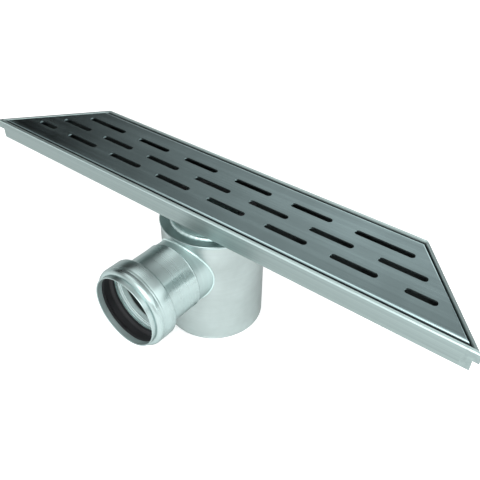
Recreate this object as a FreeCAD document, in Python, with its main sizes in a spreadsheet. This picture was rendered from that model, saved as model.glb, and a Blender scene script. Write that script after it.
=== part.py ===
"""Linear shower drain: a folded stainless channel with mitred ends, a slotted drop-in grate,
a round trap pot with a side outlet and push-fit socket, and a lift-out water seal inside.

Millimetres, +Z up. The origin is the centre of the pot's underside. +X runs along the
channel, +Y towards its short side, and the outlet points along -Y.
"""
import FreeCAD, Part
import math
import os
import Sketcher

TOL = 0.0001
LEFT = 1
RIGHT = -1

# Driving sizes. Each is written once; everything that seats on, passes through or lines up
# with a piece is worked out from these and from named clearances.
SIZES = {
    # overall heights
    "drain_height": 170.5,
    "trough_depth": 24.1,
    "neck_height": 13.7,
    "outlet_height": 90.4,
    # channel outline: the front side is longer, and both ends are mitred
    "front_length": 600.0,
    "back_length": 425.0,
    "channel_width": 105.0,
    # channel sheet, its floor bends, and the rim that is folded out and turned down
    "channel_sheet": 1.2,
    "floor_bend": 0.4,
    "rim_space": 1.9,
    "rim_end_space": 1.0,
    "rim_drop": 9.5,
    "rim_bend": 1.25,
    # grate: one sheet folded down on all four sides
    "grate_sheet": 1.5,
    "grate_gap": 2.4,
    "grate_end_gap": 0.8,
    "grate_drop": 10.0,
    "grate_bend": 1.0,
    # slots of the grate
    "slot_pitch": 70.8,
    "slot_length": 46.4,
    "slot_width": 7.0,
    "slot_minimum": 20.0,
    "row_pitch": 22.25,
    "front_web": 15.75,
    "middle_web": 15.3,
    "back_web": 18.6,
    # brackets and rubber buffers that carry the grate
    "bracket_sheet": 1.2,
    "bracket_length": 20.0,
    "bracket_reach": 10.0,
    "bracket_leg": 8.0,
    "bracket_bend": 0.3,
    "bracket_margin": 29.0,
    "bracket_spacing": 110.0,
    "buffer_thickness": 1.0,
    "buffer_width": 7.0,
    "buffer_length": 18.0,
    # trap pot, its neck and its pressed base
    "pot_radius": 56.2,
    "pot_sheet": 1.5,
    "pot_overhang": 0.9,
    "pot_top_sheet": 1.5,
    "pot_top_edge": 0.6,
    "neck_bore": 42.0,
    "neck_sheet": 1.5,
    "neck_weld": 2.0,
    "base_bend": 2.0,
    "base_skirt": 4.0,
    "seam_chamfer": 0.3,
    # outlet stub
    "stub_radius": 36.6,
    "stub_sheet": 1.5,
    "stub_weld": 1.6,
    "stub_end": 65.0,
    # outlet pipe and push-fit socket, along the outlet's axis from the pot's centre line
    "pipe_radius": 37.5,
    "pipe_sheet": 1.2,
    "seam_width": 2.2,
    "seam_bulge": 0.4,
    "shoulder_start": 104.2,
    "shoulder_bend": 1.7,
    "bell_radius": 43.8,
    "groove_one": 119.2,
    "groove_two": 121.6,
    "groove_width": 1.0,
    "groove_depth": 0.15,
    "bead_end": 129.4,
    "bead_bend": 4.7,
    "collar_bore": 37.9,
    "collar_run": 5.0,
    "collar_edge": 0.4,
    # rubber lip seal in the socket, as it lies with a pipe pushed in
    "seal_bore": 37.75,
    "seal_start": 111.6,
    "seal_fit": 0.1,
    "seal_web": 1.6,
    "seal_lip": 2.5,
    "seal_slope": 2.0,
    # lift-out water seal
    "collar_flange": 4.5,
    "collar_lip": 2.0,
    "collar_wall": 2.0,
    "collar_fit": 0.3,
    "collar_depth": 13.0,
    "collar_socket": 10.0,
    "ring_section": 3.0,
    "ring_corner": 0.8,
    "ring_fit": 0.1,
    "ring_side": 0.1,
    "ring_below": 3.0,
    "dip_radius": 30.0,
    "dip_wall": 1.5,
    "dip_fit": 0.1,
    "dip_clearance": 10.0,
    "dip_seat": 2.0,
    "wire_radius": 1.5,
    "handle_rise": 11.0,
    "handle_bend": 7.0,
    "handle_root": 5.0,
    # hair sieve with its knob
    "sieve_wall": 1.0,
    "sieve_fit": 0.6,
    "sieve_depth": 15.0,
    "sieve_bend": 1.5,
    "sieve_hole": 1.8,
    "sieve_inner_ring": 9.0,
    "sieve_outer_ring": 18.0,
    "sieve_inner_holes": 6,
    "sieve_outer_holes": 12,
    "knob_stem": 2.0,
    "knob_radius": 5.0,
    "knob_height": 15.0,
}


class Size:
    """A size of the drain: its number, and the sheet formula that the number comes from."""

    def __init__(self, value, text):
        self.value = value
        self.text = text

    def __add__(self, other):
        other = as_size(other)
        return Size(self.value + other.value, "(%s + %s)" % (self.text, other.text))

    def __sub__(self, other):
        other = as_size(other)
        return Size(self.value - other.value, "(%s - %s)" % (self.text, other.text))

    def __mul__(self, other):
        other = as_size(other)
        return Size(self.value * other.value, "(%s * %s)" % (self.text, other.text))

    def __truediv__(self, other):
        other = as_size(other)
        return Size(self.value / other.value, "(%s / %s)" % (self.text, other.text))

    def __rsub__(self, other):
        return as_size(other) - self

    def __neg__(self):
        return 0 - self

    __radd__ = __add__
    __rmul__ = __mul__


def as_size(number):
    if isinstance(number, Size):
        return number
    return Size(float(number), "(%r)" % float(number))


def root(size):
    return Size(math.sqrt(size.value), "sqrt(%s)" % size.text)


def whole(size):
    return Size(math.floor(size.value), "floor(%s)" % size.text)


def fill_sheet(doc):
    sheet = doc.addObject("Spreadsheet::Sheet", "Sizes")
    for row, (name, value) in enumerate(SIZES.items(), start=1):
        sheet.set("A%d" % row, name)
        sheet.set("B%d" % row, str(value))
        sheet.setAlias("B%d" % row, name)
    doc.recompute()
    return {name: Size(float(value), "Sizes." + name) for name, value in SIZES.items()}


doc = FreeCAD.newDocument("LinearShowerDrain")
dim = fill_sheet(doc)


# Drawing helpers

def bind(thing, prop, size):
    thing.setExpression(prop, as_size(size).text)


def new_body(label, x=None, y=None, z=None, axis=(0, 0, 1), angle=0.0):
    body = doc.addObject("PartDesign::Body", label)
    body.Label = label
    turn = FreeCAD.Rotation(FreeCAD.Vector(*axis), angle)
    body.Placement = FreeCAD.Placement(FreeCAD.Vector(0, 0, 0), turn)
    for letter, size in (("x", x), ("y", y), ("z", z)):
        if size is not None:
            bind(body, "Placement.Base." + letter, size)
    return body


def sketch_on(body, name, role, level=None):
    sketch = body.newObject("Sketcher::SketchObject", name)
    plane = [item for item in body.Origin.OriginFeatures if item.Role == role][0]
    sketch.AttachmentSupport = [(plane, "")]
    sketch.MapMode = "FlatFace"
    if level is not None:
        bind(sketch, "AttachmentOffset.Base.z", level)
    return sketch


def drive(sketch, kind, places, size):
    """Adds one dimension to a sketch and ties it to the sheet."""
    index = sketch.addConstraint(Sketcher.Constraint(kind, *places, size.value))
    bind(sketch, "Constraints[%d]" % index, size)


def place_point(sketch, geo, pos, x=None, y=None):
    """Ties a point of a sketch to the sketch's axes."""
    for kind, axis, size in (("DistanceX", -2, x), ("DistanceY", -1, y)):
        if size is None:
            continue
        size = as_size(size)
        if abs(size.value) < TOL:
            sketch.addConstraint(Sketcher.Constraint("PointOnObject", geo, pos, axis))
        elif size.value > 0:
            drive(sketch, kind, (-1, 1, geo, pos), size)
        else:
            drive(sketch, kind, (geo, pos, -1, 1), -size)


def arc_between(start, end, radius, turn):
    """The short arc from start to end; LEFT turns anticlockwise and RIGHT clockwise."""
    chord = end - start
    middle = (start + end) * 0.5
    rise = math.sqrt(max(radius * radius - chord.Length * chord.Length / 4, 0.0))
    side = FreeCAD.Vector(-chord.y, chord.x, 0).normalize() * (rise * turn)
    centre = middle + side
    first, last = (start, end) if turn == LEFT else (end, start)
    angles = [math.atan2(p.y - centre.y, p.x - centre.x) for p in (first, last)]
    circle = Part.Circle(centre, FreeCAD.Vector(0, 0, 1), radius)
    return Part.ArcOfCircle(circle, angles[0], angles[1])


def draw(sketch, points, closed=True):
    """Draws a line through points given as (x, y) or (x, y, radius, turn).

    A radius and a turn make the stretch from that point to the next one an arc.
    """
    points = [tuple(as_size(p) for p in point[:2]) + tuple(point[2:]) for point in points]
    count = len(points)
    spots = [FreeCAD.Vector(point[0].value, point[1].value, 0) for point in points]
    ends = []
    for i in range(count if closed else count - 1):
        point = points[i]
        start = spots[i]
        end = spots[(i + 1) % count]
        if len(point) == 2:
            geo = sketch.addGeometry(Part.LineSegment(start, end))
            ends.append((geo, 1, 2))
            continue
        radius, turn = point[2:]
        geo = sketch.addGeometry(arc_between(start, end, radius.value, turn))
        ends.append((geo, 1, 2) if turn == LEFT else (geo, 2, 1))
    for i in range(len(ends) if closed else len(ends) - 1):
        here = ends[i]
        after = ends[(i + 1) % len(ends)]
        joined = Sketcher.Constraint("Coincident", here[0], here[2], after[0], after[1])
        sketch.addConstraint(joined)
    for i, point in enumerate(points):
        if i < len(ends):
            geo, pos = ends[i][0], ends[i][1]
        else:
            geo, pos = ends[-1][0], ends[-1][2]
        x, y = point[:2]
        before = points[i - 1]
        if i > 0 and len(before) == 2:
            if before[0].text == x.text:
                sketch.addConstraint(Sketcher.Constraint("Vertical", ends[i - 1][0]))
                x = None
            elif before[1].text == y.text:
                sketch.addConstraint(Sketcher.Constraint("Horizontal", ends[i - 1][0]))
                y = None
        place_point(sketch, geo, pos, x, y)
    for end, point in zip(ends, points):
        if len(point) == 4:
            drive(sketch, "Radius", (end[0],), point[2])


def draw_circle(sketch, x, y, radius):
    x, y = as_size(x), as_size(y)
    centre = FreeCAD.Vector(x.value, y.value, 0)
    geo = sketch.addGeometry(Part.Circle(centre, FreeCAD.Vector(0, 0, 1), radius.value))
    place_point(sketch, geo, 3, x, y)
    drive(sketch, "Radius", (geo,), radius)


def draw_slot(sketch, left, right, level, width):
    """Draws a round-ended slot along X, from its left tip to its right tip."""
    radius = width / 2
    near = left + radius
    far = right - radius
    level = as_size(level)
    up = FreeCAD.Vector(0, radius.value, 0)
    a = FreeCAD.Vector(near.value, level.value, 0)
    b = FreeCAD.Vector(far.value, level.value, 0)
    normal = FreeCAD.Vector(0, 0, 1)
    quarter = math.pi / 2
    west = sketch.addGeometry(Part.ArcOfCircle(
        Part.Circle(a, normal, radius.value), quarter, 3 * quarter))
    south = sketch.addGeometry(Part.LineSegment(a - up, b - up))
    east = sketch.addGeometry(Part.ArcOfCircle(
        Part.Circle(b, normal, radius.value), -quarter, quarter))
    north = sketch.addGeometry(Part.LineSegment(b + up, a + up))
    for one, two in ((west, south), (south, east), (east, north), (north, west)):
        sketch.addConstraint(Sketcher.Constraint("Tangent", one, 2, two, 1))
    sketch.addConstraint(Sketcher.Constraint("Equal", west, east))
    place_point(sketch, west, 3, near, level)
    place_point(sketch, east, 3, far, level)
    drive(sketch, "Radius", (west,), radius)


def pad(body, sketch, name, length, downwards=False, both_ways=False):
    feature = body.newObject("PartDesign::Pad", name)
    feature.Profile = sketch
    feature.Reversed = downwards
    if both_ways:
        feature.SideType = "Symmetric"
    bind(feature, "Length", length)
    doc.recompute()
    return feature


def pocket(body, sketch, name, length=None, backwards=False, both_ways=False):
    """Cuts a sketch out of a body, and makes sure that something was cut."""
    before = body.Shape.Volume
    feature = body.newObject("PartDesign::Pocket", name)
    feature.Profile = sketch
    feature.Reversed = backwards
    if both_ways:
        feature.SideType = "Symmetric"
    if length is None:
        feature.Type = "ThroughAll"
    else:
        bind(feature, "Length", length)
    doc.recompute()
    if body.Shape.Volume > before - 0.001:
        raise ValueError("%s of %s cut nothing" % (name, body.Label))
    return feature


def fillet(body, name, radius, chosen):
    """Rounds the edges of a body for which chosen(edge) holds."""
    tip = body.Tip
    names = ["Edge%d" % (i + 1) for i, edge in enumerate(tip.Shape.Edges) if chosen(edge)]
    feature = body.newObject("PartDesign::Fillet", name)
    feature.Base = (tip, names)
    bind(feature, "Radius", radius)
    doc.recompute()
    return feature


def level_edge(edge, level):
    box = edge.BoundBox
    return abs(box.ZMin - level.value) < TOL and abs(box.ZMax - level.value) < TOL


def turned(label, points, **place):
    """A turned or pressed round piece: an outline of (radius, height) about the Z axis."""
    body = new_body(label, **place)
    sketch = sketch_on(body, label + "_outline", "XZ_Plane")
    draw(sketch, points)
    feature = body.newObject("PartDesign::Revolution", label + "_turn")
    feature.Profile = sketch
    feature.ReferenceAxis = (sketch, ["V_Axis"])
    feature.Angle = 360.0
    doc.recompute()
    return body


# Levels above the pot's underside

trough_bottom = dim["drain_height"] - dim["trough_depth"]
trough_floor = trough_bottom + dim["channel_sheet"]
pot_top_level = trough_bottom - dim["neck_height"]
pot_lid_level = pot_top_level - dim["pot_top_sheet"]
outlet_place = {"z": dim["outlet_height"], "axis": (1, 0, 0), "angle": 90.0}

# The mitred outline: how far one end runs back over the channel's width
mitre = (dim["front_length"] - dim["back_length"]) / 2
slant = root(dim["channel_width"] * dim["channel_width"] + mitre * mitre)
half_width = dim["channel_width"] / 2
mean_half = (dim["front_length"] + dim["back_length"]) / 4

# Distances inwards from the rim's outer face, as pairs: along the two long sides, and at the
# mitred ends, where the rim lies closer to the wall
rim_outside = (as_size(0), as_size(0))
rim_inside = (dim["channel_sheet"], dim["channel_sheet"])
trough_outside = (rim_inside[0] + dim["rim_space"], rim_inside[1] + dim["rim_end_space"])
trough_inside = tuple(inset + dim["channel_sheet"] for inset in trough_outside)
grate_outside = (trough_inside[0] + dim["grate_gap"], trough_inside[1] + dim["grate_end_gap"])
grate_inside = tuple(inset + dim["grate_sheet"] for inset in grate_outside)


def draw_channel_outline(sketch, insets):
    """The channel's mitred outline, moved inwards along its sides and at its ends."""
    side, end = insets
    front = dim["front_length"] / 2 - (side * mitre + end * slant) / dim["channel_width"]
    back = dim["back_length"] / 2 + (side * mitre - end * slant) / dim["channel_width"]
    reach = half_width - side
    draw(sketch, [(-front, -reach), (front, -reach), (back, reach), (-back, reach)])


# The channel: floor and walls of one sheet, the walls folded outwards at the top and
# turned down again as a rim

def make_channel():
    body = new_body("channel_trough", z=trough_bottom)
    depth = dim["trough_depth"]
    sheet = dim["channel_sheet"]
    floor_bend = dim["floor_bend"]

    plan = sketch_on(body, "trough_plan", "XY_Plane")
    draw_channel_outline(plan, trough_outside)
    pad(body, plan, "trough_block", depth)
    fillet(body, "trough_outer_bends", floor_bend + sheet,
           lambda edge: level_edge(edge, as_size(0)))

    hollow = sketch_on(body, "trough_inside", "XY_Plane", level=sheet)
    draw_channel_outline(hollow, trough_inside)
    pocket(body, hollow, "trough_hollow", backwards=True)
    fillet(body, "trough_inner_bends", floor_bend, lambda edge: level_edge(edge, sheet))

    for name, insets, drop in (("folded_lip", trough_inside, sheet),
                               ("turned_down_rim", rim_inside, dim["rim_drop"])):
        ring = sketch_on(body, name + "_plan", "XY_Plane", level=depth)
        draw_channel_outline(ring, rim_outside)
        draw_channel_outline(ring, insets)
        pad(body, ring, name, drop, downwards=True)
    fillet(body, "rim_folds", dim["rim_bend"], lambda edge: level_edge(edge, depth))

    hole = sketch_on(body, "neck_hole_plan", "XY_Plane")
    draw_circle(hole, 0, 0, dim["neck_bore"])
    pocket(body, hole, "neck_hole", sheet, backwards=True)
    return body


# The grate: a sheet folded down on all sides, with three rows of round-ended slots. The
# outer rows are set half a pitch off, and the last slot of each row runs out to its end web

def slot_row(body, name, level, web, offset):
    half_slot = dim["slot_length"] / 2
    pitch = dim["slot_pitch"]
    width = dim["channel_width"]
    edge = mean_half - level * mitre / width - grate_outside[1] * slant / width
    row_end = edge - web
    last = whole((row_end - dim["slot_minimum"] + half_slot) / pitch - offset)

    first = -(last - 1 + offset) * pitch
    plan = sketch_on(body, name + "_slot", "XY_Plane")
    draw_slot(plan, first - half_slot, first + half_slot, level, dim["slot_width"])
    one = pocket(body, plan, name + "_slot_cut")
    row = body.newObject("PartDesign::LinearPattern", name + "_slots")
    row.Originals = [one]
    row.Direction = (plan, ["H_Axis"])
    row.Mode = "Spacing"
    bind(row, "Offset", pitch)
    bind(row, "Occurrences", 2 * last - 1 + 2 * offset)
    body.Tip = row
    doc.recompute()

    plan = sketch_on(body, name + "_end_slot", "XY_Plane")
    draw_slot(plan, (last + offset) * pitch - half_slot, row_end, level, dim["slot_width"])
    one = pocket(body, plan, name + "_end_slot_cut")
    pair = body.newObject("PartDesign::Mirrored", name + "_end_slots")
    pair.Originals = [one]
    pair.MirrorPlane = (plan, ["V_Axis"])
    body.Tip = pair
    doc.recompute()


def make_grate():
    body = new_body("grate", z=dim["drain_height"])
    drop = dim["grate_drop"]
    sheet = dim["grate_sheet"]

    plan = sketch_on(body, "grate_plan", "XY_Plane")
    draw_channel_outline(plan, grate_outside)
    pad(body, plan, "grate_block", drop, downwards=True)
    fillet(body, "grate_outer_folds", dim["grate_bend"] + sheet,
           lambda edge: level_edge(edge, as_size(0)))

    hollow = sketch_on(body, "grate_inside", "XY_Plane", level=-drop)
    draw_channel_outline(hollow, grate_inside)
    pocket(body, hollow, "grate_hollow", drop - sheet, backwards=True)
    fillet(body, "grate_inner_folds", dim["grate_bend"],
           lambda edge: level_edge(edge, -sheet))

    slot_row(body, "front", -dim["row_pitch"], dim["front_web"], 0.5)
    slot_row(body, "middle", as_size(0), dim["middle_web"], 0.0)
    slot_row(body, "back", dim["row_pitch"], dim["back_web"], 0.5)
    return body


# Folded angle brackets on the long walls, each with a rubber buffer under the grate's edge

bracket_top = dim["drain_height"] - dim["grate_drop"] - dim["buffer_thickness"]
wall_line = half_width - trough_inside[0]
outer_bracket = dim["back_length"] / 2 - dim["bracket_margin"]
inner_bracket = outer_bracket - dim["bracket_spacing"]


def make_bracket(number, x, side):
    """A bracket against the front wall (side -1) or, turned round, the back wall (side 1)."""
    place = {"x": x, "y": side * wall_line, "z": bracket_top, "angle": 180.0 if side > 0 else 0.0}
    body = new_body("grate_support_%d" % number, **place)
    sheet = dim["bracket_sheet"]
    reach = dim["bracket_reach"]
    leg = dim["bracket_leg"]
    bend = dim["bracket_bend"]
    outer = bend + sheet
    section = sketch_on(body, "bracket_section_%d" % number, "YZ_Plane")
    draw(section, [
        (0, -leg),
        (sheet, -leg),
        (sheet, -outer, bend, RIGHT),
        (outer, -sheet),
        (reach, -sheet),
        (reach, 0),
        (outer, 0, outer, LEFT),
        (0, -outer),
    ])
    pad(body, section, "bracket_%d" % number, dim["bracket_length"], both_ways=True)
    return body


def make_buffer(number, x, side):
    place = {"x": x, "y": side * wall_line, "z": bracket_top, "angle": 180.0 if side > 0 else 0.0}
    body = new_body("support_buffer_%d" % number, **place)
    near = dim["bracket_bend"] + dim["bracket_sheet"]
    far = near + dim["buffer_width"]
    section = sketch_on(body, "buffer_section_%d" % number, "YZ_Plane")
    draw(section, [(near, 0), (far, 0), (far, dim["buffer_thickness"]),
                   (near, dim["buffer_thickness"])])
    pad(body, section, "buffer_%d" % number, dim["buffer_length"], both_ways=True)
    return body


# The trap pot: rolled shell, pressed base, flat top and the neck up to the channel

pot_radius = dim["pot_radius"]
pot_inside = pot_radius - dim["pot_sheet"]


def make_pot():
    chamfer = dim["seam_chamfer"]
    skirt = dim["base_skirt"]
    sheet = dim["pot_sheet"]
    bend = dim["base_bend"]
    outer = bend + sheet
    base = turned("pot_base", [
        (0, 0),
        (pot_radius - outer, 0, outer, LEFT),
        (pot_radius, outer),
        (pot_radius, skirt - chamfer),
        (pot_radius - chamfer, skirt),
        (pot_inside, skirt),
        (pot_inside, outer),
        (pot_inside - bend, sheet),
        (0, sheet),
    ])

    shell = turned("pot_shell", [
        (pot_inside, 0),
        (pot_radius - chamfer, 0),
        (pot_radius, chamfer),
        (pot_radius, pot_lid_level - skirt),
        (pot_inside, pot_lid_level - skirt),
    ], z=skirt)
    hole = sketch_on(shell, "stub_hole_plan", "XZ_Plane")
    draw_circle(hole, 0, dim["outlet_height"] - skirt, stub_bore)
    pocket(shell, hole, "stub_hole", backwards=True)

    edge = dim["pot_top_edge"]
    rim = pot_radius + dim["pot_overhang"]
    top_sheet = dim["pot_top_sheet"]
    top = turned("pot_top", [
        (dim["neck_bore"], 0),
        (rim, 0),
        (rim, top_sheet - edge),
        (rim - edge, top_sheet),
        (dim["neck_bore"], top_sheet),
    ], z=pot_lid_level)

    weld = dim["neck_weld"]
    outside = dim["neck_bore"] + dim["neck_sheet"]
    neck = turned("outlet_neck", [
        (dim["neck_bore"], 0),
        (outside + weld, 0),
        (outside, weld),
        (outside, dim["neck_height"] - weld),
        (outside + weld, dim["neck_height"]),
        (dim["neck_bore"], dim["neck_height"]),
    ], z=pot_top_level)
    return [base, shell, top, neck]


# The outlet: a stub welded to the pot's side, then a pipe that is widened to a push-fit
# socket with a rolled bead and a straight collar at its mouth

stub_bore = dim["stub_radius"] - dim["stub_sheet"]


def make_stub():
    """The stub is joined to a copy of the pot's wall, the weld is a fillet between the two,
    and the pot's wall is cut away again, which leaves the stub's saddle and its weld."""
    body = new_body("outlet_stub", z=dim["outlet_height"])
    wall = sketch_on(body, "pot_wall_plan", "XY_Plane")
    draw_circle(wall, 0, 0, pot_radius)
    height = (dim["stub_radius"] + dim["stub_weld"]) * 3
    pad(body, wall, "pot_wall", height, both_ways=True)
    section = sketch_on(body, "stub_section", "XZ_Plane")
    draw_circle(section, 0, 0, dim["stub_radius"])
    pad(body, section, "stub", dim["stub_end"])
    fillet(body, "stub_weld", dim["stub_weld"],
           lambda edge: edge.Curve.TypeId not in ("Part::GeomCircle", "Part::GeomLine"))
    away = sketch_on(body, "pot_clearance_plan", "XY_Plane")
    draw_circle(away, 0, 0, pot_radius)
    pocket(body, away, "pot_clearance", height, both_ways=True)
    bore = sketch_on(body, "stub_bore_section", "XZ_Plane")
    draw_circle(bore, 0, 0, stub_bore)
    pocket(body, bore, "stub_bore", backwards=True)
    return body


pipe_bore = dim["pipe_radius"] - dim["pipe_sheet"]
bell_inside = dim["bell_radius"] - dim["pipe_sheet"]
bead_start = dim["bead_end"] - dim["bead_bend"]
bead_inside = dim["bead_end"] - dim["pipe_sheet"]
collar_outside = dim["bell_radius"] - dim["bead_bend"]
mouth = dim["bead_end"] + dim["collar_run"]


def groove(middle):
    """A fine rolled groove round the bell."""
    half = dim["groove_width"] / 2
    crest = dim["bell_radius"]
    return [(crest, middle - half), (crest - dim["groove_depth"], middle), (crest, middle + half)]


def make_socket():
    pipe = dim["pipe_radius"]
    bell = dim["bell_radius"]
    start = dim["shoulder_start"]
    bend = dim["shoulder_bend"]
    step = start + bend
    edge = dim["collar_edge"]
    outline = [
        (pipe_bore, dim["stub_end"]),
        (pipe, dim["stub_end"]),
        (pipe + dim["seam_bulge"], dim["stub_end"] + dim["seam_width"] / 2),
        (pipe, dim["stub_end"] + dim["seam_width"]),
        (pipe, start, bend, RIGHT),
        (pipe + bend, step),
        (bell - bend, step, bend, LEFT),
        (bell, step + bend),
    ]
    outline += groove(dim["groove_one"]) + groove(dim["groove_two"])
    outline += [
        (bell, bead_start, dim["bead_bend"], LEFT),
        (collar_outside, dim["bead_end"]),
        (collar_outside, mouth - edge),
        (collar_outside - edge, mouth),
        (dim["collar_bore"] + edge, mouth),
        (dim["collar_bore"], mouth - edge),
        (dim["collar_bore"], bead_inside),
        (collar_outside, bead_inside),
        (bell_inside, bead_start),
        (bell_inside, step + dim["pipe_sheet"]),
        (pipe + bend, step + dim["pipe_sheet"]),
        (pipe_bore, start + dim["pipe_sheet"]),
    ]
    return turned("outlet_socket", outline, **outlet_place)


def make_socket_seal():
    outside = bell_inside - dim["seal_fit"]
    front = bead_inside - dim["seal_fit"]
    back = dim["seal_start"]
    bore = dim["seal_bore"]
    web = outside - dim["seal_web"]
    lip = dim["seal_lip"]
    slope = dim["seal_slope"]
    return turned("socket_seal", [
        (bore, front),
        (bore, front - lip),
        (web, front - lip - slope),
        (web, back + lip + slope),
        (bore, back + lip),
        (bore, back),
        (outside, back),
        (outside, bead_start - dim["seal_fit"]),
        (collar_outside - dim["seal_fit"], front),
    ], **outlet_place)


# The lift-out water seal: a collar that hangs in the neck by its flange and is sealed by a
# rubber ring, the dip tube under it, a wire handle, and a hair sieve inside the collar

collar_radius = dim["neck_bore"] - dim["collar_fit"]
ring_middle = -(dim["ring_below"] + dim["ring_side"] + dim["ring_section"] / 2)
ring_line = dim["neck_bore"] - dim["ring_fit"] - dim["ring_section"] / 2
ring_seat = ring_line - dim["ring_section"] / 2 - dim["ring_side"]
collar_inside = ring_seat - dim["collar_wall"]
web_top = -dim["collar_depth"]
web_bottom = web_top - dim["collar_wall"]
dip_top = web_bottom - dim["dip_seat"]
dip_bore = dim["dip_radius"] - dim["dip_wall"]


def make_collar():
    lip = dim["collar_lip"]
    wall = dim["collar_wall"]
    groove_top = -dim["ring_below"]
    groove_bottom = 2 * ring_middle - groove_top
    flange = dim["neck_bore"] + dim["collar_flange"]
    socket = dim["dip_radius"] + dim["dip_fit"]
    return turned("trap_collar", [
        (collar_inside, wall),
        (collar_inside, web_top),
        (dip_bore, web_top),
        (dip_bore, dip_top),
        (socket, dip_top),
        (socket, dip_top - dim["collar_socket"]),
        (socket + wall, dip_top - dim["collar_socket"]),
        (socket + wall, web_bottom),
        (ring_seat, web_bottom),
        (ring_seat, groove_bottom - lip),
        (collar_radius, groove_bottom - lip),
        (collar_radius, groove_bottom),
        (ring_seat, groove_bottom),
        (ring_seat, groove_top),
        (collar_radius, groove_top),
        (collar_radius, 0),
        (flange, 0),
        (flange, wall / 2),
        (flange - wall / 2, wall),
    ], z=trough_floor)


def make_ring():
    """The rubber ring in the collar's groove, of square section with broken corners."""
    half = dim["ring_section"] / 2
    cut = dim["ring_corner"]
    inner = ring_line - half
    outer = ring_line + half
    low = ring_middle - half
    high = ring_middle + half
    return turned("trap_oring", [
        (inner + cut, low),
        (outer - cut, low),
        (outer, low + cut),
        (outer, high - cut),
        (outer - cut, high),
        (inner + cut, high),
        (inner, high - cut),
        (inner, low + cut),
    ], z=trough_floor)


def make_dip_tube():
    length = trough_floor + dip_top - dim["dip_clearance"]
    return turned("dip_tube", [
        (dip_bore, 0),
        (dim["dip_radius"], 0),
        (dim["dip_radius"], length),
        (dip_bore, length),
    ], z=dim["dip_clearance"])


def make_handle():
    """A bent wire bow whose two feet stand against the inside of the collar."""
    body = new_body("trap_handle", z=trough_floor)
    wire = dim["wire_radius"]
    foot = collar_inside - wire
    low = -dim["handle_root"]
    high = dim["handle_rise"]
    bend = dim["handle_bend"]
    path = sketch_on(body, "handle_path", "XZ_Plane")
    draw(path, [
        (-foot, low),
        (-foot, high - bend, bend, RIGHT),
        (bend - foot, high),
        (foot - bend, high, bend, RIGHT),
        (foot, high - bend),
        (foot, low),
    ], closed=False)
    section = sketch_on(body, "handle_section", "XY_Plane", level=low)
    draw_circle(section, -foot, 0, wire)
    sweep = body.newObject("PartDesign::AdditivePipe", "handle_wire")
    sweep.Profile = section
    sweep.Spine = (path, [])
    doc.recompute()
    return body


def make_sieve():
    wall = dim["sieve_wall"]
    cup = dip_bore - dim["sieve_fit"]
    inside = cup - wall
    depth = dim["sieve_depth"]
    bend = dim["sieve_bend"]
    outer = bend + wall
    flange = collar_inside - dim["sieve_fit"]
    sieve = turned("hair_sieve", [
        (0, -depth),
        (cup - outer, -depth),
        (cup, outer - depth),
        (cup, 0),
        (flange, 0),
        (flange, wall),
        (inside, wall),
        (inside, outer - depth),
        (inside - bend, wall - depth),
        (0, wall - depth),
    ], z=trough_floor + web_top)
    for name in ("inner", "outer"):
        plan = sketch_on(sieve, name + "_hole_plan", "XY_Plane", level=-depth)
        draw_circle(plan, dim["sieve_%s_ring" % name], 0, dim["sieve_hole"])
        one = pocket(sieve, plan, name + "_hole", wall, backwards=True)
        ring = sieve.newObject("PartDesign::PolarPattern", name + "_holes")
        ring.Originals = [one]
        ring.Axis = (plan, ["N_Axis"])
        ring.Angle = 360.0
        bind(ring, "Occurrences", dim["sieve_%s_holes" % name])
        sieve.Tip = ring
        doc.recompute()

    stem = dim["knob_stem"]
    ball = dim["knob_radius"]
    height = dim["knob_height"]
    knob = turned("sieve_knob", [
        (0, 0),
        (stem, 0),
        (stem, height - root(ball * ball - stem * stem), ball, LEFT),
        (ball, height, ball, LEFT),
        (0, height + ball),
    ], z=trough_floor + web_top - depth + wall)
    return [sieve, knob]


def make_drain():
    bodies = [make_channel(), make_grate()]
    bodies += make_pot()
    bodies += [make_stub(), make_socket(), make_socket_seal()]
    spots = [(x, side) for side in (-1, 1)
             for x in (-outer_bracket, -inner_bracket, inner_bracket, outer_bracket)]
    for number, (x, side) in enumerate(spots, start=1):
        bodies.append(make_bracket(number, x, side))
        bodies.append(make_buffer(number, x, side))
    bodies += [make_collar(), make_ring(), make_dip_tube(), make_handle()]
    bodies += make_sieve()
    return bodies


def check(bodies):
    for thing in doc.Objects:
        if "Invalid" in thing.State or "Error" in thing.State:
            raise ValueError("%s could not be built" % thing.Label)
    for body in bodies:
        shape = body.Shape
        if shape.isNull() or not shape.isValid() or len(shape.Solids) != 1:
            raise ValueError("%s is not one sound solid" % body.Label)


bodies = make_drain()
doc.recompute()
check(bodies)
os.makedirs("parts", exist_ok=True)
for body in bodies:
    body.Shape.exportStep("parts/%s.step" % body.Label)
    print("%-18s %10.1f mm3" % (body.Label, body.Shape.Volume))
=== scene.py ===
import math

import bmesh
import bpy
from mathutils import Matrix, Vector


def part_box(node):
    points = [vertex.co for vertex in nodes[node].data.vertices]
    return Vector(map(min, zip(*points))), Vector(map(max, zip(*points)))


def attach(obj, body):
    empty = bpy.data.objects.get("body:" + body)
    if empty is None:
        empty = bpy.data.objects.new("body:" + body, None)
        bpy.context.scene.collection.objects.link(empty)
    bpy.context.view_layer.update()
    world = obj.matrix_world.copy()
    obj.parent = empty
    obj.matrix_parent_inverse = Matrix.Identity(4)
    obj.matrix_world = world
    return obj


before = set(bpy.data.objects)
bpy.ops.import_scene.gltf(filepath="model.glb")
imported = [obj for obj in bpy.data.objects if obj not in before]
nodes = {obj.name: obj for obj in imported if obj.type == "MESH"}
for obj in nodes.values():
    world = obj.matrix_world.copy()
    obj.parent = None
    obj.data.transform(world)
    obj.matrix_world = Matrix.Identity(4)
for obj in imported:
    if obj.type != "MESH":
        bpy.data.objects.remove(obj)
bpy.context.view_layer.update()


# node helpers

# most values of a noise texture lie between these two

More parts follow.
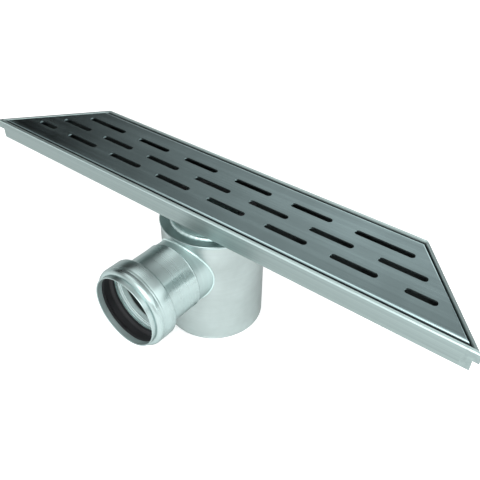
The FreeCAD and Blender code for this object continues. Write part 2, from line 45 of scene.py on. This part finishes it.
NOISE_RANGE = (0.3, 0.7)


class Tree:
    """Adds shader or geometry nodes to a tree and links them."""

    def __init__(self, tree):
        self.tree = tree
        tree.nodes.clear()

    def add(self, kind, values=None, **settings):
        node = self.tree.nodes.new(kind)
        for key, value in settings.items():
            setattr(node, key, value)
        for key, value in (values or {}).items():
            self.put(node.inputs[key], value)
        return node

    def put(self, socket, value):
        if isinstance(value, bpy.types.NodeSocket):
            self.tree.links.new(value, socket)
        else:
            socket.default_value = value

    def math(self, operation, a, b=0.0, c=0.0):
        node = self.add("ShaderNodeMath", operation=operation)
        for socket, value in zip(node.inputs, (a, b, c)):
            self.put(socket, value)
        return node.outputs[0]

    def product(self, first, *others):
        for other in others:
            first = self.math("MULTIPLY", first, other)
        return first

    def remap(self, value, low, high, to_low, to_high, smooth=True):
        node = self.add("ShaderNodeMapRange",
                        {"Value": value, "From Min": low, "From Max": high,
                         "To Min": to_low, "To Max": to_high},
                        interpolation_type="SMOOTHSTEP" if smooth else "LINEAR")
        return node.outputs[0]

    def rise(self, value, span):
        """0 before the span and 1 after it."""
        return self.remap(value, span[0], span[1], 0.0, 1.0)

    def fall(self, value, span):
        """1 before the span and 0 after it."""
        return self.remap(value, span[0], span[1], 1.0, 0.0)

    def blend(self, factor, first, second):
        """first where factor is 0, second where it is 1."""
        change = self.math("MULTIPLY", factor, self.math("SUBTRACT", second, first))
        return self.math("ADD", first, change)

    def parts(self, vector):
        """The x, y and z of a vector."""
        return self.add("ShaderNodeSeparateXYZ", {0: vector}).outputs

    def mix(self, factor, a, b, blend="MIX"):
        node = self.add("ShaderNodeMix", data_type="RGBA", blend_type=blend)
        self.put(node.inputs[0], factor)
        self.put(node.inputs[6], a)
        self.put(node.inputs[7], b)
        return node.outputs[2]

    def shaded(self, colour, shade):
        """A colour times a grey shade."""
        even = self.add("ShaderNodeCombineColor", {0: shade, 1: shade, 2: shade}).outputs[0]
        return self.mix(1.0, colour, even, "MULTIPLY")

    def noise(self, vector, scale, detail=3.0, rough=0.55):
        """Noise that changes about as often per metre as scale says along each axis."""
        moved = self.add("ShaderNodeMapping", {"Vector": vector, "Scale": scale})
        texture = self.add("ShaderNodeTexNoise",
                           {"Vector": moved.outputs[0], "Scale": 1.0,
                            "Detail": detail, "Roughness": rough})
        return texture.outputs[0]

    def spread(self, noise, low, high):
        """Noise drawn out from low to high."""
        return self.remap(noise, *NOISE_RANGE, low, high, smooth=False)


def grey(value, tint=(1.0, 1.0, 1.0)):
    return (value * tint[0], value * tint[1], value * tint[2], 1.0)


STEEL_TINT = (0.80, 1.0, 0.985)
GRATE_TINT = (0.75, 1.0, 1.02)
POT_TINT = (0.86, 1.0, 0.985)


# places on the object, in metres

PIPE_HEIGHT = (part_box("outlet_socket")[0][2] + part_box("outlet_socket")[1][2]) / 2
CHANNEL_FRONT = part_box("channel_trough")[0][1]
CHANNEL_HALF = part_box("channel_trough")[1][0]
BACK_HALF = 0.2125

# for each metre across the channel: how far its mitred end moves along x, and how long it is

MITRE = (CHANNEL_HALF - BACK_HALF) / -(2 * CHANNEL_FRONT)
MITRE_LENGTH = math.hypot(1.0, MITRE)


# where a finish starts to change and where it has changed, in metres: a LEVEL is a height,
# a SIDE a distance from the channel's middle line, a RUN a place along y on the outlet,
# whose mouth is at the low end, and a RADIUS one round the outlet's axis

TROUGH_FLOOR_LEVEL = (0.1469, 0.1474)
TROUGH_TOP_LEVEL = (0.1680, 0.1698)
TROUGH_WALL_SIDE = (0.04855, 0.0490)
LIP_LEVEL = (0.1690, 0.1698)
LIP_SIDE = (0.0486, 0.0496)
GRATE_SKIRT_LEVEL = (0.1690, 0.1699)
GRATE_FACE_LEVEL = (0.1700, 0.1703)
GRATE_FACE_SIDE = (0.0415, 0.0430)
SLOT_LEVEL = (0.16895, 0.16905)
SLOT_SIDE = (0.0420, 0.0430)
PIPE_WALL_RADIUS = (0.0368, 0.0371)
PIPE_DEEP_RUN = (-0.1010, -0.0990)
SHOULDER_BORE_RADIUS = (0.0371, 0.0374)
SHOULDER_RADIUS = (0.0427, 0.0430)
SHOULDER_BACK_RUN = (-0.1064, -0.1061)
SHOULDER_FRONT_RUN = (-0.1078, -0.1074)
COLLAR_RADIUS = (0.0380, 0.0383)
COLLAR_RUN = (-0.1278, -0.1274)
HEAT_LEVEL = (0.1320, 0.1326)
HEAT_LEFT = (-0.040, -0.024)

# the same, as distances past the edge of the mitred end

TROUGH_END = (-0.0031, -0.0026)
END_FLANGE = (-0.0090, -0.0088)

# the same, as how far a surface has to face up or across to count as a slot's wall

UPRIGHT = (0.3, 0.6)
FACING_ACROSS = (0.45, 0.75)


# masks

def past_mitre(t, x, y):
    """How far a point lies past the edge of the mitred end, in metres."""
    slant = t.math("MULTIPLY_ADD", t.math("SUBTRACT", y, CHANNEL_FRONT), MITRE,
                   t.math("ABSOLUTE", x))
    return t.math("DIVIDE", t.math("SUBTRACT", slant, CHANNEL_HALF), MITRE_LENGTH)


def channel_inside(t, place):
    """1 in the channel's trough under the grate, where the steel is painted dark as painted
    shade; 0 outside and on the rim.
    """
    x, y, z = t.parts(place)
    low = t.fall(z, TROUGH_TOP_LEVEL)
    near = t.fall(t.math("ABSOLUTE", y), TROUGH_WALL_SIDE)
    over_floor = t.rise(z, TROUGH_FLOOR_LEVEL)
    between_ends = t.fall(past_mitre(t, x, y), TROUGH_END)
    return t.product(low, near, over_floor, between_ends)


def channel_lip(t, place):
    """1 on the rounded top of the rim's long sides, which is painted lighter there as a painted
    highlight.
    """
    _, y, z = t.parts(place)
    return t.product(t.rise(z, LIP_LEVEL), t.rise(t.math("ABSOLUTE", y), LIP_SIDE))


def grate_top(t, place):
    """1 on the grate's flat top, which is brushed finer than its folds."""
    _, y, z = t.parts(place)
    return t.product(t.rise(z, GRATE_FACE_LEVEL), t.fall(t.math("ABSOLUTE", y), GRATE_FACE_SIDE))


def grate_inside(t, place):
    """1 on the grate's underside and skirt, which are painted dark as painted shade; 0 on its top
    and fold.
    """
    return t.fall(t.parts(place)[2], GRATE_SKIRT_LEVEL)


def facing(t):
    """How much a surface faces along x, y and z."""
    return t.parts(t.add("ShaderNodeNewGeometry").outputs["Normal"])


def grate_cut(t, place):
    """1 on the cut walls of the slots."""
    _, y, z = t.parts(place)
    upright = t.fall(t.math("ABSOLUTE", facing(t)[2]), UPRIGHT)
    off_skirt = t.fall(t.math("ABSOLUTE", y), SLOT_SIDE)
    return t.product(upright, off_skirt, t.rise(z, SLOT_LEVEL))


def grate_cut_long(t, place):
    """1 on the slots' straight cut walls, which are painted dark as painted shade; 0 round their
    ends.
    """
    straight = t.rise(t.math("ABSOLUTE", facing(t)[1]), FACING_ACROSS)
    return t.product(straight, grate_cut(t, place))


def outlet_radius(t, x, z):
    """The distance from the outlet's axis."""
    rise = t.math("SUBTRACT", z, PIPE_HEIGHT)
    return t.math("SQRT", t.math("ADD", t.product(x, x), t.product(rise, rise)))


def pipe_inside(t, place):
    """1 on the pipe's dull inner wall, deeper than the pickled edge of its shoulder; it is
    painted dark there as painted shade.
    """
    x, y, z = t.parts(place)
    return t.product(t.fall(outlet_radius(t, x, z), PIPE_WALL_RADIUS), t.rise(y, PIPE_DEEP_RUN))


def shoulder_inside(t, place):
    """1 on the pickled inner face of the shoulder behind the seal, and on its bore, which are
    matt and painted near white as a painted highlight.
    """
    x, y, z = t.parts(place)
    radius = outlet_radius(t, x, z)
    behind_seal = t.rise(y, SHOULDER_FRONT_RUN)
    face = t.product(t.fall(radius, SHOULDER_RADIUS), t.fall(y, SHOULDER_BACK_RUN), behind_seal)
    bore = t.product(t.fall(radius, SHOULDER_BORE_RADIUS), t.fall(y, PIPE_DEEP_RUN), behind_seal)
    return t.math("MAXIMUM", face, bore)


def collar_inside(t, place):
    """1 on the inner wall of the collar at the mouth."""
    x, y, z = t.parts(place)
    return t.product(t.fall(outlet_radius(t, x, z), COLLAR_RADIUS), t.fall(y, COLLAR_RUN))


def heat_tint(t, place):
    """1 on the left between the lid and the channel, where the steel is painted dark as painted
    shade.
    """
    x, _, z = t.parts(place)
    return t.product(t.fall(x, HEAT_LEFT), t.rise(z, HEAT_LEVEL))


def brushed_ends(t, place):
    """The place, turned at the mitred ends so that their grain runs along the end."""
    x, y, z = t.parts(place)
    past_end = past_mitre(t, x, y)
    walked = t.math("MULTIPLY_ADD", t.math("ABSOLUTE", x), -MITRE, y)
    along = t.math("DIVIDE", walked, MITRE_LENGTH)
    at_end = t.add("ShaderNodeCombineXYZ", {0: along, 1: past_end, 2: z}).outputs[0]
    return t.mix(t.rise(past_end, END_FLANGE), place, at_end)


# materials

BRUSH_DEPTH = 0.00004
MATTE_DEPTH = 0.00005
CLOUDS_PER_METRE = 14.0


def new_material(name):
    """An empty material, its tree, and the place of a point on the object."""
    material = bpy.data.materials.new(name)
    material.use_nodes = True
    t = Tree(material.node_tree)
    return material, t, t.add("ShaderNodeTexCoord").outputs["Object"]


def show(t, shader):
    """Makes a shader the surface of its material."""
    t.put(t.add("ShaderNodeOutputMaterial").inputs["Surface"], shader.outputs[0])


def across_the_brush(t, lay):
    """The direction in the surface in which brush marks draw a highlight out."""
    if lay == "along_x":
        normal = t.add("ShaderNodeNewGeometry").outputs["Normal"]
        cross = t.add("ShaderNodeVectorMath", operation="CROSS_PRODUCT")
        t.put(cross.inputs[0], normal)
        cross.inputs[1].default_value = (1.0, 0.0, 0.0)
        return cross.outputs[0]
    axis = {"round_z": {2: 1.0}, "round_y": {1: 1.0}}[lay]
    return t.add("ShaderNodeCombineXYZ", axis).outputs[0]


def steel(name, base, rough, fine=(3.0, 500.0, 500.0), coarse=(1.5, 90.0, 90.0), bump=0.25,
          streak=0.10, aniso=0.4, lay="along_x", tint=STEEL_TINT, edge=1.0, mottle=0.05,
          turned=None, zones=()):
    """Stainless steel. fine and coarse are how often the grain changes per metre along each
    axis; the grain runs along the axis with the small number. lay says how the brush went:
    along_x, round_z or round_y, or none for a pickled finish. streak is how much the grain
    changes the tone, and mottle how much the tone wanders in soft patches. edge is how much
    of a glancing reflection is left. turned gives the place as the grain sees it. Each zone
    is a mask function with the base, the roughness and the metallic share that the steel has
    there."""
    material, t, place = new_material(name)
    laid = turned(t, place) if turned else place
    hairline = t.noise(laid, fine, detail=2.0)
    broad = t.noise(laid, coarse)
    cloud = t.noise(place, (CLOUDS_PER_METRE,) * 3, detail=4.0, rough=0.6)
    grain = t.math("ADD", t.product(hairline, 0.45), t.product(broad, 0.55))
    shade = t.product(t.spread(grain, 1.0 - streak, 1.0 + streak),
                      t.spread(cloud, 1.0 - mottle, 1.0 + mottle))
    plain = grey(base, tint)
    level = rough
    metal = 1.0
    for mask_of, zone_base, zone_rough, zone_metal in zones:
        mask = mask_of(t, place)
        plain = t.mix(mask, plain, grey(zone_base, tint))
        level = t.blend(mask, level, zone_rough)
        if zone_metal < 1.0:
            metal = t.math("SUBTRACT", metal, t.product(mask, 1.0 - zone_metal))
    uneven = t.remap(grain, 0.25, 0.75, -0.05, 0.06, smooth=False)
    roughness = t.math("ADD", t.math("ADD", level, uneven), t.spread(cloud, -0.03, 0.04))
    relief = t.add("ShaderNodeBump", {"Height": grain, "Strength": bump, "Distance": BRUSH_DEPTH})
    shader = t.add("ShaderNodeBsdfPrincipled", {
        "Base Color": t.shaded(plain, shade), "Metallic": metal, "Roughness": roughness,
        "Normal": relief.outputs[0]})
    shader.inputs["Specular Tint"].default_value = grey(edge)
    if lay != "none":
        shader.inputs["Anisotropic"].default_value = aniso
        t.put(shader.inputs["Tangent"], across_the_brush(t, lay))
    show(t, shader)
    return material


def pickled_steel(name, base, rough, fine, coarse, streak=0.08, bump=0.15, zones=()):
    """Stainless steel with an even finish that has no brush marks."""
    return steel(name, base, rough, fine=(fine,) * 3, coarse=(coarse,) * 3, streak=streak,
                 bump=bump, lay="none", zones=zones)


def matte(name, colour, rough, scale=900.0):
    """Rubber or moulded plastic, whose fine grain changes scale times per metre."""
    material, t, place = new_material(name)
    grain = t.noise(place, (scale,) * 3, detail=2.0)
    cloud = t.noise(place, (60.0,) * 3)
    relief = t.add("ShaderNodeBump",
                   {"Height": grain, "Strength": 0.3, "Distance": MATTE_DEPTH})
    shader = t.add("ShaderNodeBsdfPrincipled", {
        "Base Color": t.shaded(colour, t.spread(cloud, 0.8, 1.25)),
        "Roughness": t.spread(grain, rough - 0.07, rough + 0.07),
        "Normal": relief.outputs[0]})
    show(t, shader)
    return material


# the rim's lip is painted lighter as a painted highlight
# the trough under the grate is painted dark as painted shade
channel_steel = steel("channel_steel", base=0.34, rough=0.40, streak=0.18, aniso=0.8,
                      coarse=(1.2, 150.0, 150.0), turned=brushed_ends,
                      zones=((channel_lip, 0.76, 0.33, 1.0), (channel_inside, 0.08, 0.65, 1.0)))
# the grate's underside and skirt and the slots' straight walls are painted dark as painted shade
grate_steel = steel("grate_steel", base=0.58, rough=0.20, streak=0.08, bump=0.08, aniso=0.35,
                    tint=GRATE_TINT,
                    zones=((grate_top, 0.58, 0.14, 1.0), (grate_inside, 0.08, 0.5, 1.0),
                           (grate_cut, 0.50, 0.65, 1.0), (grate_cut_long, 0.08, 0.6, 1.0)))
pot_steel = steel("pot_steel", base=0.475, rough=0.38, edge=0.45, fine=(6.0, 6.0, 420.0),
                  coarse=(3.0, 3.0, 70.0), streak=0.05, bump=0.15, lay="round_z", aniso=0.6,
                  tint=POT_TINT, mottle=0.16)
# the pipe's bore is painted dark as painted shade, and the shoulder inside the mouth near white
# as a painted highlight
pipe_steel = steel("pipe_steel", base=0.50, rough=0.27, edge=0.5, fine=(6.0, 420.0, 6.0),
                   coarse=(3.0, 80.0, 3.0), streak=0.06, bump=0.07, lay="round_y", aniso=0.2,
                   zones=((pipe_inside, 0.15, 0.5, 1.0), (shoulder_inside, 0.95, 0.45, 0.3),
                          (collar_inside, 0.52, 0.45, 0.8)))
stub_steel = steel("stub_steel", base=0.56, rough=0.46, edge=0.5, fine=(6.0, 420.0, 6.0),
                   coarse=(3.0, 80.0, 3.0), bump=0.2, lay="round_y")
lid_steel = pickled_steel("lid_steel", base=0.42, rough=0.34, fine=120.0, coarse=30.0)
# the neck and the welds are painted dark on the left as painted shade
neck_steel = pickled_steel("neck_steel", base=0.40, rough=0.32, fine=120.0, coarse=30.0,
                           zones=((heat_tint, 0.20, 0.45, 1.0),))
weld_steel = pickled_steel("weld_steel", base=0.72, rough=0.38, fine=400.0, coarse=60.0,
                           bump=0.2, zones=((heat_tint, 0.20, 0.45, 1.0),))
inner_steel = pickled_steel("inner_steel", base=0.4, rough=0.4, fine=90.0, coarse=20.0,
                            streak=0.06, bump=0.1)
# the brackets under the grate are painted nearly black as painted shade
bracket_steel = pickled_steel("bracket_steel", base=0.10, rough=0.6, fine=90.0, coarse=20.0,
                              streak=0.06, bump=0.1)
black_rubber = matte("black_rubber", (0.018, 0.019, 0.021, 1.0), 0.5)
dark_plastic = matte("dark_plastic", (0.05, 0.052, 0.055, 1.0), 0.45, scale=600.0)

finishes = {
    "channel_trough": channel_steel,
    "grate": grate_steel,
    "outlet_neck": neck_steel,
    "pot_top": lid_steel,
    "pot_shell": pot_steel,
    "pot_base": pot_steel,
    "outlet_stub": stub_steel,
    "outlet_socket": pipe_steel,
    "socket_seal": black_rubber,
    "trap_collar": dark_plastic,
    "trap_oring": black_rubber,
    "dip_tube": inner_steel,
    "trap_handle": inner_steel,
    "hair_sieve": inner_steel,
    "sieve_knob": inner_steel,
}


def finish_of(name):
    if name.startswith("grate_support"):
        return bracket_steel
    if name.startswith("support_buffer"):
        return black_rubber
    return finishes[name]


# smooth shading

SHARP_EDGE = math.radians(28.0)
SAME_POINT = 0.000002
FLAT_FACED = ("grate", "channel_trough")


def smoothing_group():
    """Welds a node's facets and shades it smooth, apart from its sharp edges."""
    group = bpy.data.node_groups.new("smooth_by_angle", "GeometryNodeTree")
    group.interface.new_socket("Geometry", in_out="INPUT", socket_type="NodeSocketGeometry")
    group.interface.new_socket("Geometry", in_out="OUTPUT", socket_type="NodeSocketGeometry")
    t = Tree(group)
    source = t.add("NodeGroupInput").outputs[0]
    weld = t.add("GeometryNodeMergeByDistance", {"Geometry": source, "Distance": SAME_POINT})
    faces = t.add("GeometryNodeSetShadeSmooth", {"Geometry": weld.outputs[0],
                                                 "Shade Smooth": True}, domain="FACE")
    angle = t.add("GeometryNodeInputMeshEdgeAngle").outputs[0]
    sharp = t.add("FunctionNodeCompare", data_type="FLOAT", operation="GREATER_THAN")
    t.put(sharp.inputs[0], angle)
    t.put(sharp.inputs[1], SHARP_EDGE)
    edges = t.add("GeometryNodeSetShadeSmooth",
                  {"Geometry": faces.outputs[0], "Selection": sharp.outputs[0],
                   "Shade Smooth": False}, domain="EDGE")
    t.put(t.add("NodeGroupOutput").inputs[0], edges.outputs[0])
    return group


def keep_faces_flat(node):
    """Takes the shading of long flat faces from the faces, not from the folds beside them."""
    flat = node.modifiers.new("flat_faces", "WEIGHTED_NORMAL")
    flat.mode = "FACE_AREA"
    flat.weight = 100
    flat.keep_sharp = True


smooth = smoothing_group()
for name, node in nodes.items():
    node.data.materials.clear()
    node.data.materials.append(finish_of(name))
    modifier = node.modifiers.new("smooth", "NODES")
    modifier.node_group = smooth
    if name in FLAT_FACED:
        keep_faces_flat(node)


# weld beads

BEAD_SIDES = 10
BEAD_FLATNESS = 0.62
RING_POINTS = 640
SADDLE_POINTS = 560
NECK_FILLET = 0.002
STUB_FILLET = 0.0016


def bead_half_width(width, walked, scale):
    """Half the width of a bead after a walk along it. A slow and a quick wave make it a
    little uneven."""
    slow_wave = 0.05 * math.sin(walked * 410.0)
    quick_wave = 0.04 * math.sin(walked * 1130.0 + 1.0)
    return width / 2 * (0.93 + 0.07 * scale + (slow_wave + quick_wave))


def bead_mesh(name, route, width, ripple_pitch):
    """A closed bead with the fine scales of a weld. route lists pairs of a point of the
    bead's centre line and the direction in which the bead bulges."""
    mesh = bmesh.new()
    walked = 0.0
    rings = []
    for index, (point, bulge) in enumerate(route):
        behind = route[index - 1][0]
        ahead = route[(index + 1) % len(route)][0]
        along = (ahead - behind).normalized()
        walked += (point - behind).length if index else 0.0
        outward = (bulge - along * bulge.dot(along)).normalized()
        sideways = along.cross(outward)
        scale = abs(math.sin(math.pi * walked / ripple_pitch))
        half = bead_half_width(width, walked, scale)
        rise = half * BEAD_FLATNESS * (0.9 + 0.1 * scale)
        ring = []
        for step in range(BEAD_SIDES):
            turn = math.tau * step / BEAD_SIDES
            offset = sideways * (math.cos(turn) * half) + outward * (math.sin(turn) * rise)
            ring.append(mesh.verts.new(point + offset))
        rings.append(ring)
    for index, ring in enumerate(rings):
        other = rings[(index + 1) % len(rings)]
        for step in range(BEAD_SIDES):
            after = (step + 1) % BEAD_SIDES
            face = mesh.faces.new((ring[step], ring[after], other[after], other[step]))
            face.smooth = True
    bmesh.ops.recalc_face_normals(mesh, faces=mesh.faces)
    data = bpy.data.meshes.new(name)
    mesh.to_mesh(data)
    mesh.free()
    return data


def add_weld(name, route, width=0.0026, ripple_pitch=0.0011):
    data = bead_mesh(name, route, width, ripple_pitch)
    data.materials.append(weld_steel)
    bead = bpy.data.objects.new(name, data)
    bpy.context.scene.collection.objects.link(bead)
    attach(bead, "root")


def ring_route(radius, level, lean):
    """A level circle about the pot's axis; the bead bulges outwards and, by lean, upwards."""
    route = []
    for index in range(RING_POINTS):
        turn = math.tau * index / RING_POINTS
        out = Vector((math.cos(turn), math.sin(turn), 0.0))
        route.append((out * radius + Vector((0.0, 0.0, level)), out + Vector((0.0, 0.0, lean))))
    return route


def saddle_route(pot, stub, height):
    """Where the stub meets the pot: a ring round the stub that lies on the pot's wall."""
    route = []
    for index in range(SADDLE_POINTS):
        turn = math.tau * index / SADDLE_POINTS
        x = math.cos(turn) * stub
        y = -math.sqrt(pot * pot - x * x)
        out = Vector((math.cos(turn), 0.0, math.sin(turn)))
        wall = Vector((x, y, 0.0)).normalized()
        route.append((Vector((x, y, height + math.sin(turn) * stub)), out + wall))
    return route


neck_low, neck_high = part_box("outlet_neck")
stub_low, stub_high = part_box("outlet_stub")
pot_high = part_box("pot_shell")[1]
pot_wall = pot_high[0]
neck_wall = neck_high[0] - NECK_FILLET
stub_height = (stub_low[2] + stub_high[2]) / 2
stub_wall = (stub_high[2] - stub_low[2]) / 2 - STUB_FILLET

# how far the middle of each bead stands off the walls that it joins

NECK_LOW_OFFSET = 0.0009
NECK_HIGH_OFFSET = 0.0006
LID_WALL_OFFSET = 0.0002
LID_DROP = 0.0004
SADDLE_OFFSET = 0.0004

add_weld("neck_weld_low",
         ring_route(neck_wall + NECK_LOW_OFFSET, neck_low[2] + NECK_LOW_OFFSET, lean=1.0),
         width=0.0056)
add_weld("lid_weld", ring_route(pot_wall + LID_WALL_OFFSET, pot_high[2] - LID_DROP, lean=-0.5),
         width=0.0018, ripple_pitch=0.0009)
add_weld("neck_weld_high",
         ring_route(neck_wall + NECK_HIGH_OFFSET, neck_high[2] - NECK_HIGH_OFFSET, lean=-1.0))
add_weld("stub_weld_bead",
         saddle_route(pot_wall + SADDLE_OFFSET, stub_wall + SADDLE_OFFSET, stub_height),
         width=0.0022)


# camera: angles in radians, the eye in metres, the sensor in millimetres

FOCAL_PX = 580.7053
PHOTO_PX = 480.0
SENSOR = 36.0
YAW = -0.6565
PITCH = 0.6561
ROLL = 0.0166
GRATE_TOP = 0.1705
EYE = Vector((0.33278, -0.38375, 0.31924 + GRATE_TOP))


def make_camera():
    ahead = Vector((math.sin(YAW) * math.cos(PITCH), math.cos(YAW) * math.cos(PITCH),
                    -math.sin(PITCH)))
    right = Vector((math.cos(YAW), -math.sin(YAW), 0.0))
    up = right.cross(ahead)
    level_right = math.cos(ROLL) * right + math.sin(ROLL) * up
    level_up = -math.sin(ROLL) * right + math.cos(ROLL) * up
    data = bpy.data.cameras.new("camera")
    data.sensor_width = SENSOR
    data.lens = SENSOR * FOCAL_PX / PHOTO_PX
    data.clip_start = 0.01
    camera = bpy.data.objects.new("camera", data)
    bpy.context.scene.collection.objects.link(camera)
    turn = Matrix((level_right, level_up, -ahead)).transposed()
    camera.matrix_world = Matrix.Translation(EYE) @ turn.to_4x4()
    bpy.context.scene.camera = camera


make_camera()


# studio

FLOOR_HALF = 6.0
FLOOR_DROP = 0.0002
FLOOR_GLOW = 0.35


def make_floor():
    """A white floor that takes shadows, and that glows a little where it is seen directly or
    in a reflection."""
    size = FLOOR_HALF
    mesh = bpy.data.meshes.new("floor")
    mesh.from_pydata([(-size, -size, 0), (size, -size, 0), (size, size, 0), (-size, size, 0)],
                     [], [(0, 1, 2, 3)])
    floor = bpy.data.objects.new("floor", mesh)
    floor.location.z = -FLOOR_DROP
    bpy.context.scene.collection.objects.link(floor)
    material = bpy.data.materials.new("white_floor")
    material.use_nodes = True
    t = Tree(material.node_tree)
    path = t.add("ShaderNodeLightPath").outputs
    seen = t.math("MAXIMUM", path["Is Camera Ray"],
                  t.math("MAXIMUM", path["Is Glossy Ray"], path["Is Transmission Ray"]))
    diffuse = t.add("ShaderNodeBsdfDiffuse", {"Color": grey(0.9)})
    glow = t.add("ShaderNodeEmission", {"Color": grey(1.0),
                                        "Strength": t.product(seen, FLOOR_GLOW)})
    both = t.add("ShaderNodeAddShader")
    t.put(both.inputs[0], diffuse.outputs[0])
    t.put(both.inputs[1], glow.outputs[0])
    show(t, both)
    mesh.materials.append(material)


# where the world's zones meet: first by the turn over the top, which is 1 at the back's
# horizon, 0 overhead and -1 at the front's horizon, then by the height of a direction

BACK_TO_LOW = (0.81, 0.93)
CEILING_TO_BACK = (0.30, 0.55)
FRONT_TO_CEILING = (-0.55, -0.25)
BACK_DIMS = (0.45, 0.70)
LEFT_GLOW_ENDS = (0.22, 0.36)
HORIZON_ENDS = (0.21, 0.29)


def make_world():
    """A studio with a white horizon and a dark left side. Above the horizon, the zones from
    the back over the top to the front are a low back that brightens to the right, a grey
    back that darkens upwards, a lit ceiling and a bright front."""
    world = bpy.data.worlds.new("studio")
    world.use_nodes = True
    bpy.context.scene.world = world
    t = Tree(world.node_tree)
    x, y, z = t.parts(t.add("ShaderNodeTexCoord").outputs["Generated"])
    across = t.math("SQRT", t.math("SUBTRACT", 1.001, t.product(x, x)))
    turn = t.math("DIVIDE", y, across)

    low = t.math("MULTIPLY_ADD", t.remap(x, -0.79, -0.30, 0.0, 0.66, smooth=False), 2.0, 0.18)
    right = t.product(t.remap(x, 0.05, 0.35, 0.0, 0.7), t.remap(x, 0.45, 0.75, 1.0, 0.0))
    back = t.math("ADD", t.remap(x, -0.77, -0.30, 0.0, 0.74, smooth=False), right)
    back = t.product(back, t.remap(z, *BACK_DIMS, 1.0, 0.40, smooth=False))
    ceiling = t.product(t.remap(x, -0.74, -0.48, 0.0, 1.6), t.remap(x, -0.25, 0.10, 1.0, 0.6))
    front = t.product(t.remap(x, -0.80, -0.20, 0.30, 1.3, smooth=False),
                      t.remap(x, 0.0, 0.60, 1.0, 0.5))
    left_glow = t.product(t.remap(x, -0.80, -0.85, 0.0, 0.55), t.fall(z, LEFT_GLOW_ENDS))

    strength = t.blend(t.rise(turn, BACK_TO_LOW), back, low)
    strength = t.blend(t.fall(turn, CEILING_TO_BACK), strength, ceiling)
    strength = t.blend(t.fall(turn, FRONT_TO_CEILING), strength, front)
    strength = t.blend(left_glow, strength, 0.9)
    strength = t.blend(t.fall(z, HORIZON_ENDS), strength, 1.0)
    sky = t.add("ShaderNodeBackground", {"Color": grey(1.0), "Strength": strength})
    t.put(t.add("ShaderNodeOutputWorld").inputs[0], sky.outputs[0])


def area_light(name, place, aim, size, power):
    data = bpy.data.lights.new(name, "AREA")
    data.shape = "SQUARE"
    data.size = size
    data.energy = power
    lamp = bpy.data.objects.new(name, data)
    lamp.location = place
    lamp.rotation_euler = (Vector(aim) - Vector(place)).to_track_quat("-Z", "Y").to_euler()
    bpy.context.scene.collection.objects.link(lamp)


make_floor()
make_world()
area_light("key", (0.7, -1.7, 1.1), aim=(0.0, 0.0, 0.1), size=1.0, power=8.0)
area_light("near", (0.55, -0.6, 0.85), aim=(0.15, -0.2, 0.0), size=0.9, power=5.5)
area_light("side", (1.7, 0.3, 0.9), aim=(0.0, 0.0, 0.15), size=1.6, power=10.0)

bpy.context.scene.view_settings.view_transform = "Standard"
